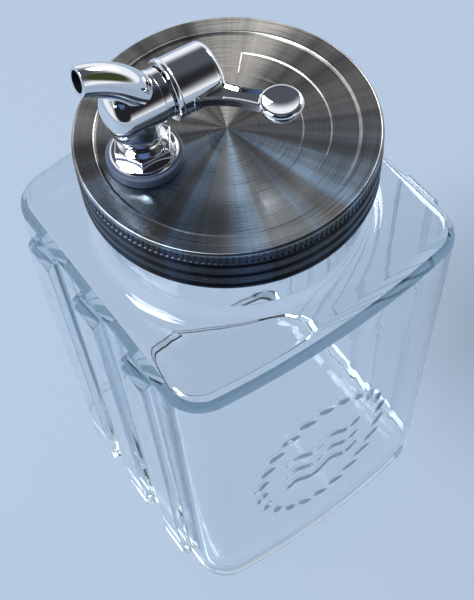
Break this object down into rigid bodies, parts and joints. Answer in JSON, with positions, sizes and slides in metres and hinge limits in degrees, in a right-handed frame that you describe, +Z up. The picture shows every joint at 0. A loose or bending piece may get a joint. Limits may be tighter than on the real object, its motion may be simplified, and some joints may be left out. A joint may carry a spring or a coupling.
{
  "type": "detergent dispenser bottle",
  "caption": "Square glass dispenser jar with ribbed sides, a brushed steel screw lid and a chromed quarter-turn tap with a lever; it is laid on its side to pour.",
  "frame": {"origin": "centre of the jar's base", "axes": "+Z up; -Y the bowed front face; -X and +X the ribbed sides; the tap's spout points to -X"},
  "size_m": [0.1474, 0.142, 0.3093],
  "materials": {
    "clear_glass": "clear, pressed",
    "spun_steel": "brushed in circles",
    "plain_steel": "satin",
    "chrome_plate": "polished",
    "grey_rubber": "matt",
    "black_rubber": "matt",
    "white_plastic": "matt"
  },
  "bodies": {
    "jar": {"jar": "clear_glass"},
    "liner": {"lid_liner": "white_plastic"},
    "lid": {"lid_shell": "spun_steel", "outer_gasket": "grey_rubber", "flange_nut": "chrome_plate", "tap_body": "chrome_plate", "bonnet_ring": "chrome_plate", "inner_gasket": "grey_rubber", "inner_washer": "plain_steel", "lock_nut": "chrome_plate"},
    "handle": {"handle": "chrome_plate", "valve_plug": "white_plastic", "thrust_washer": "white_plastic", "plug_seal_inner": "black_rubber", "plug_seal_outer": "black_rubber", "stem_seal": "black_rubber", "handle_screw": "plain_steel", "end_button": "chrome_plate"}
  },
  "joints": [
    {"name": "lid_lift", "type": "slide", "parent": "jar", "child": "liner", "axis": [0, 0, 1], "range_m": [0, 0.12]},
    {"name": "lid_turn", "type": "hinge", "parent": "liner", "child": "lid", "pos_m": [0, 0, 0.2553], "axis": [0, 0, 1], "range_deg": [0, 450]},
    {"name": "handle_turn", "type": "hinge", "parent": "lid", "child": "handle", "pos_m": [-0.0314, 0.0064, 0.2828], "axis": [0.9976, -0.0698, 0], "range_deg": [-90, 0]}
  ]
}
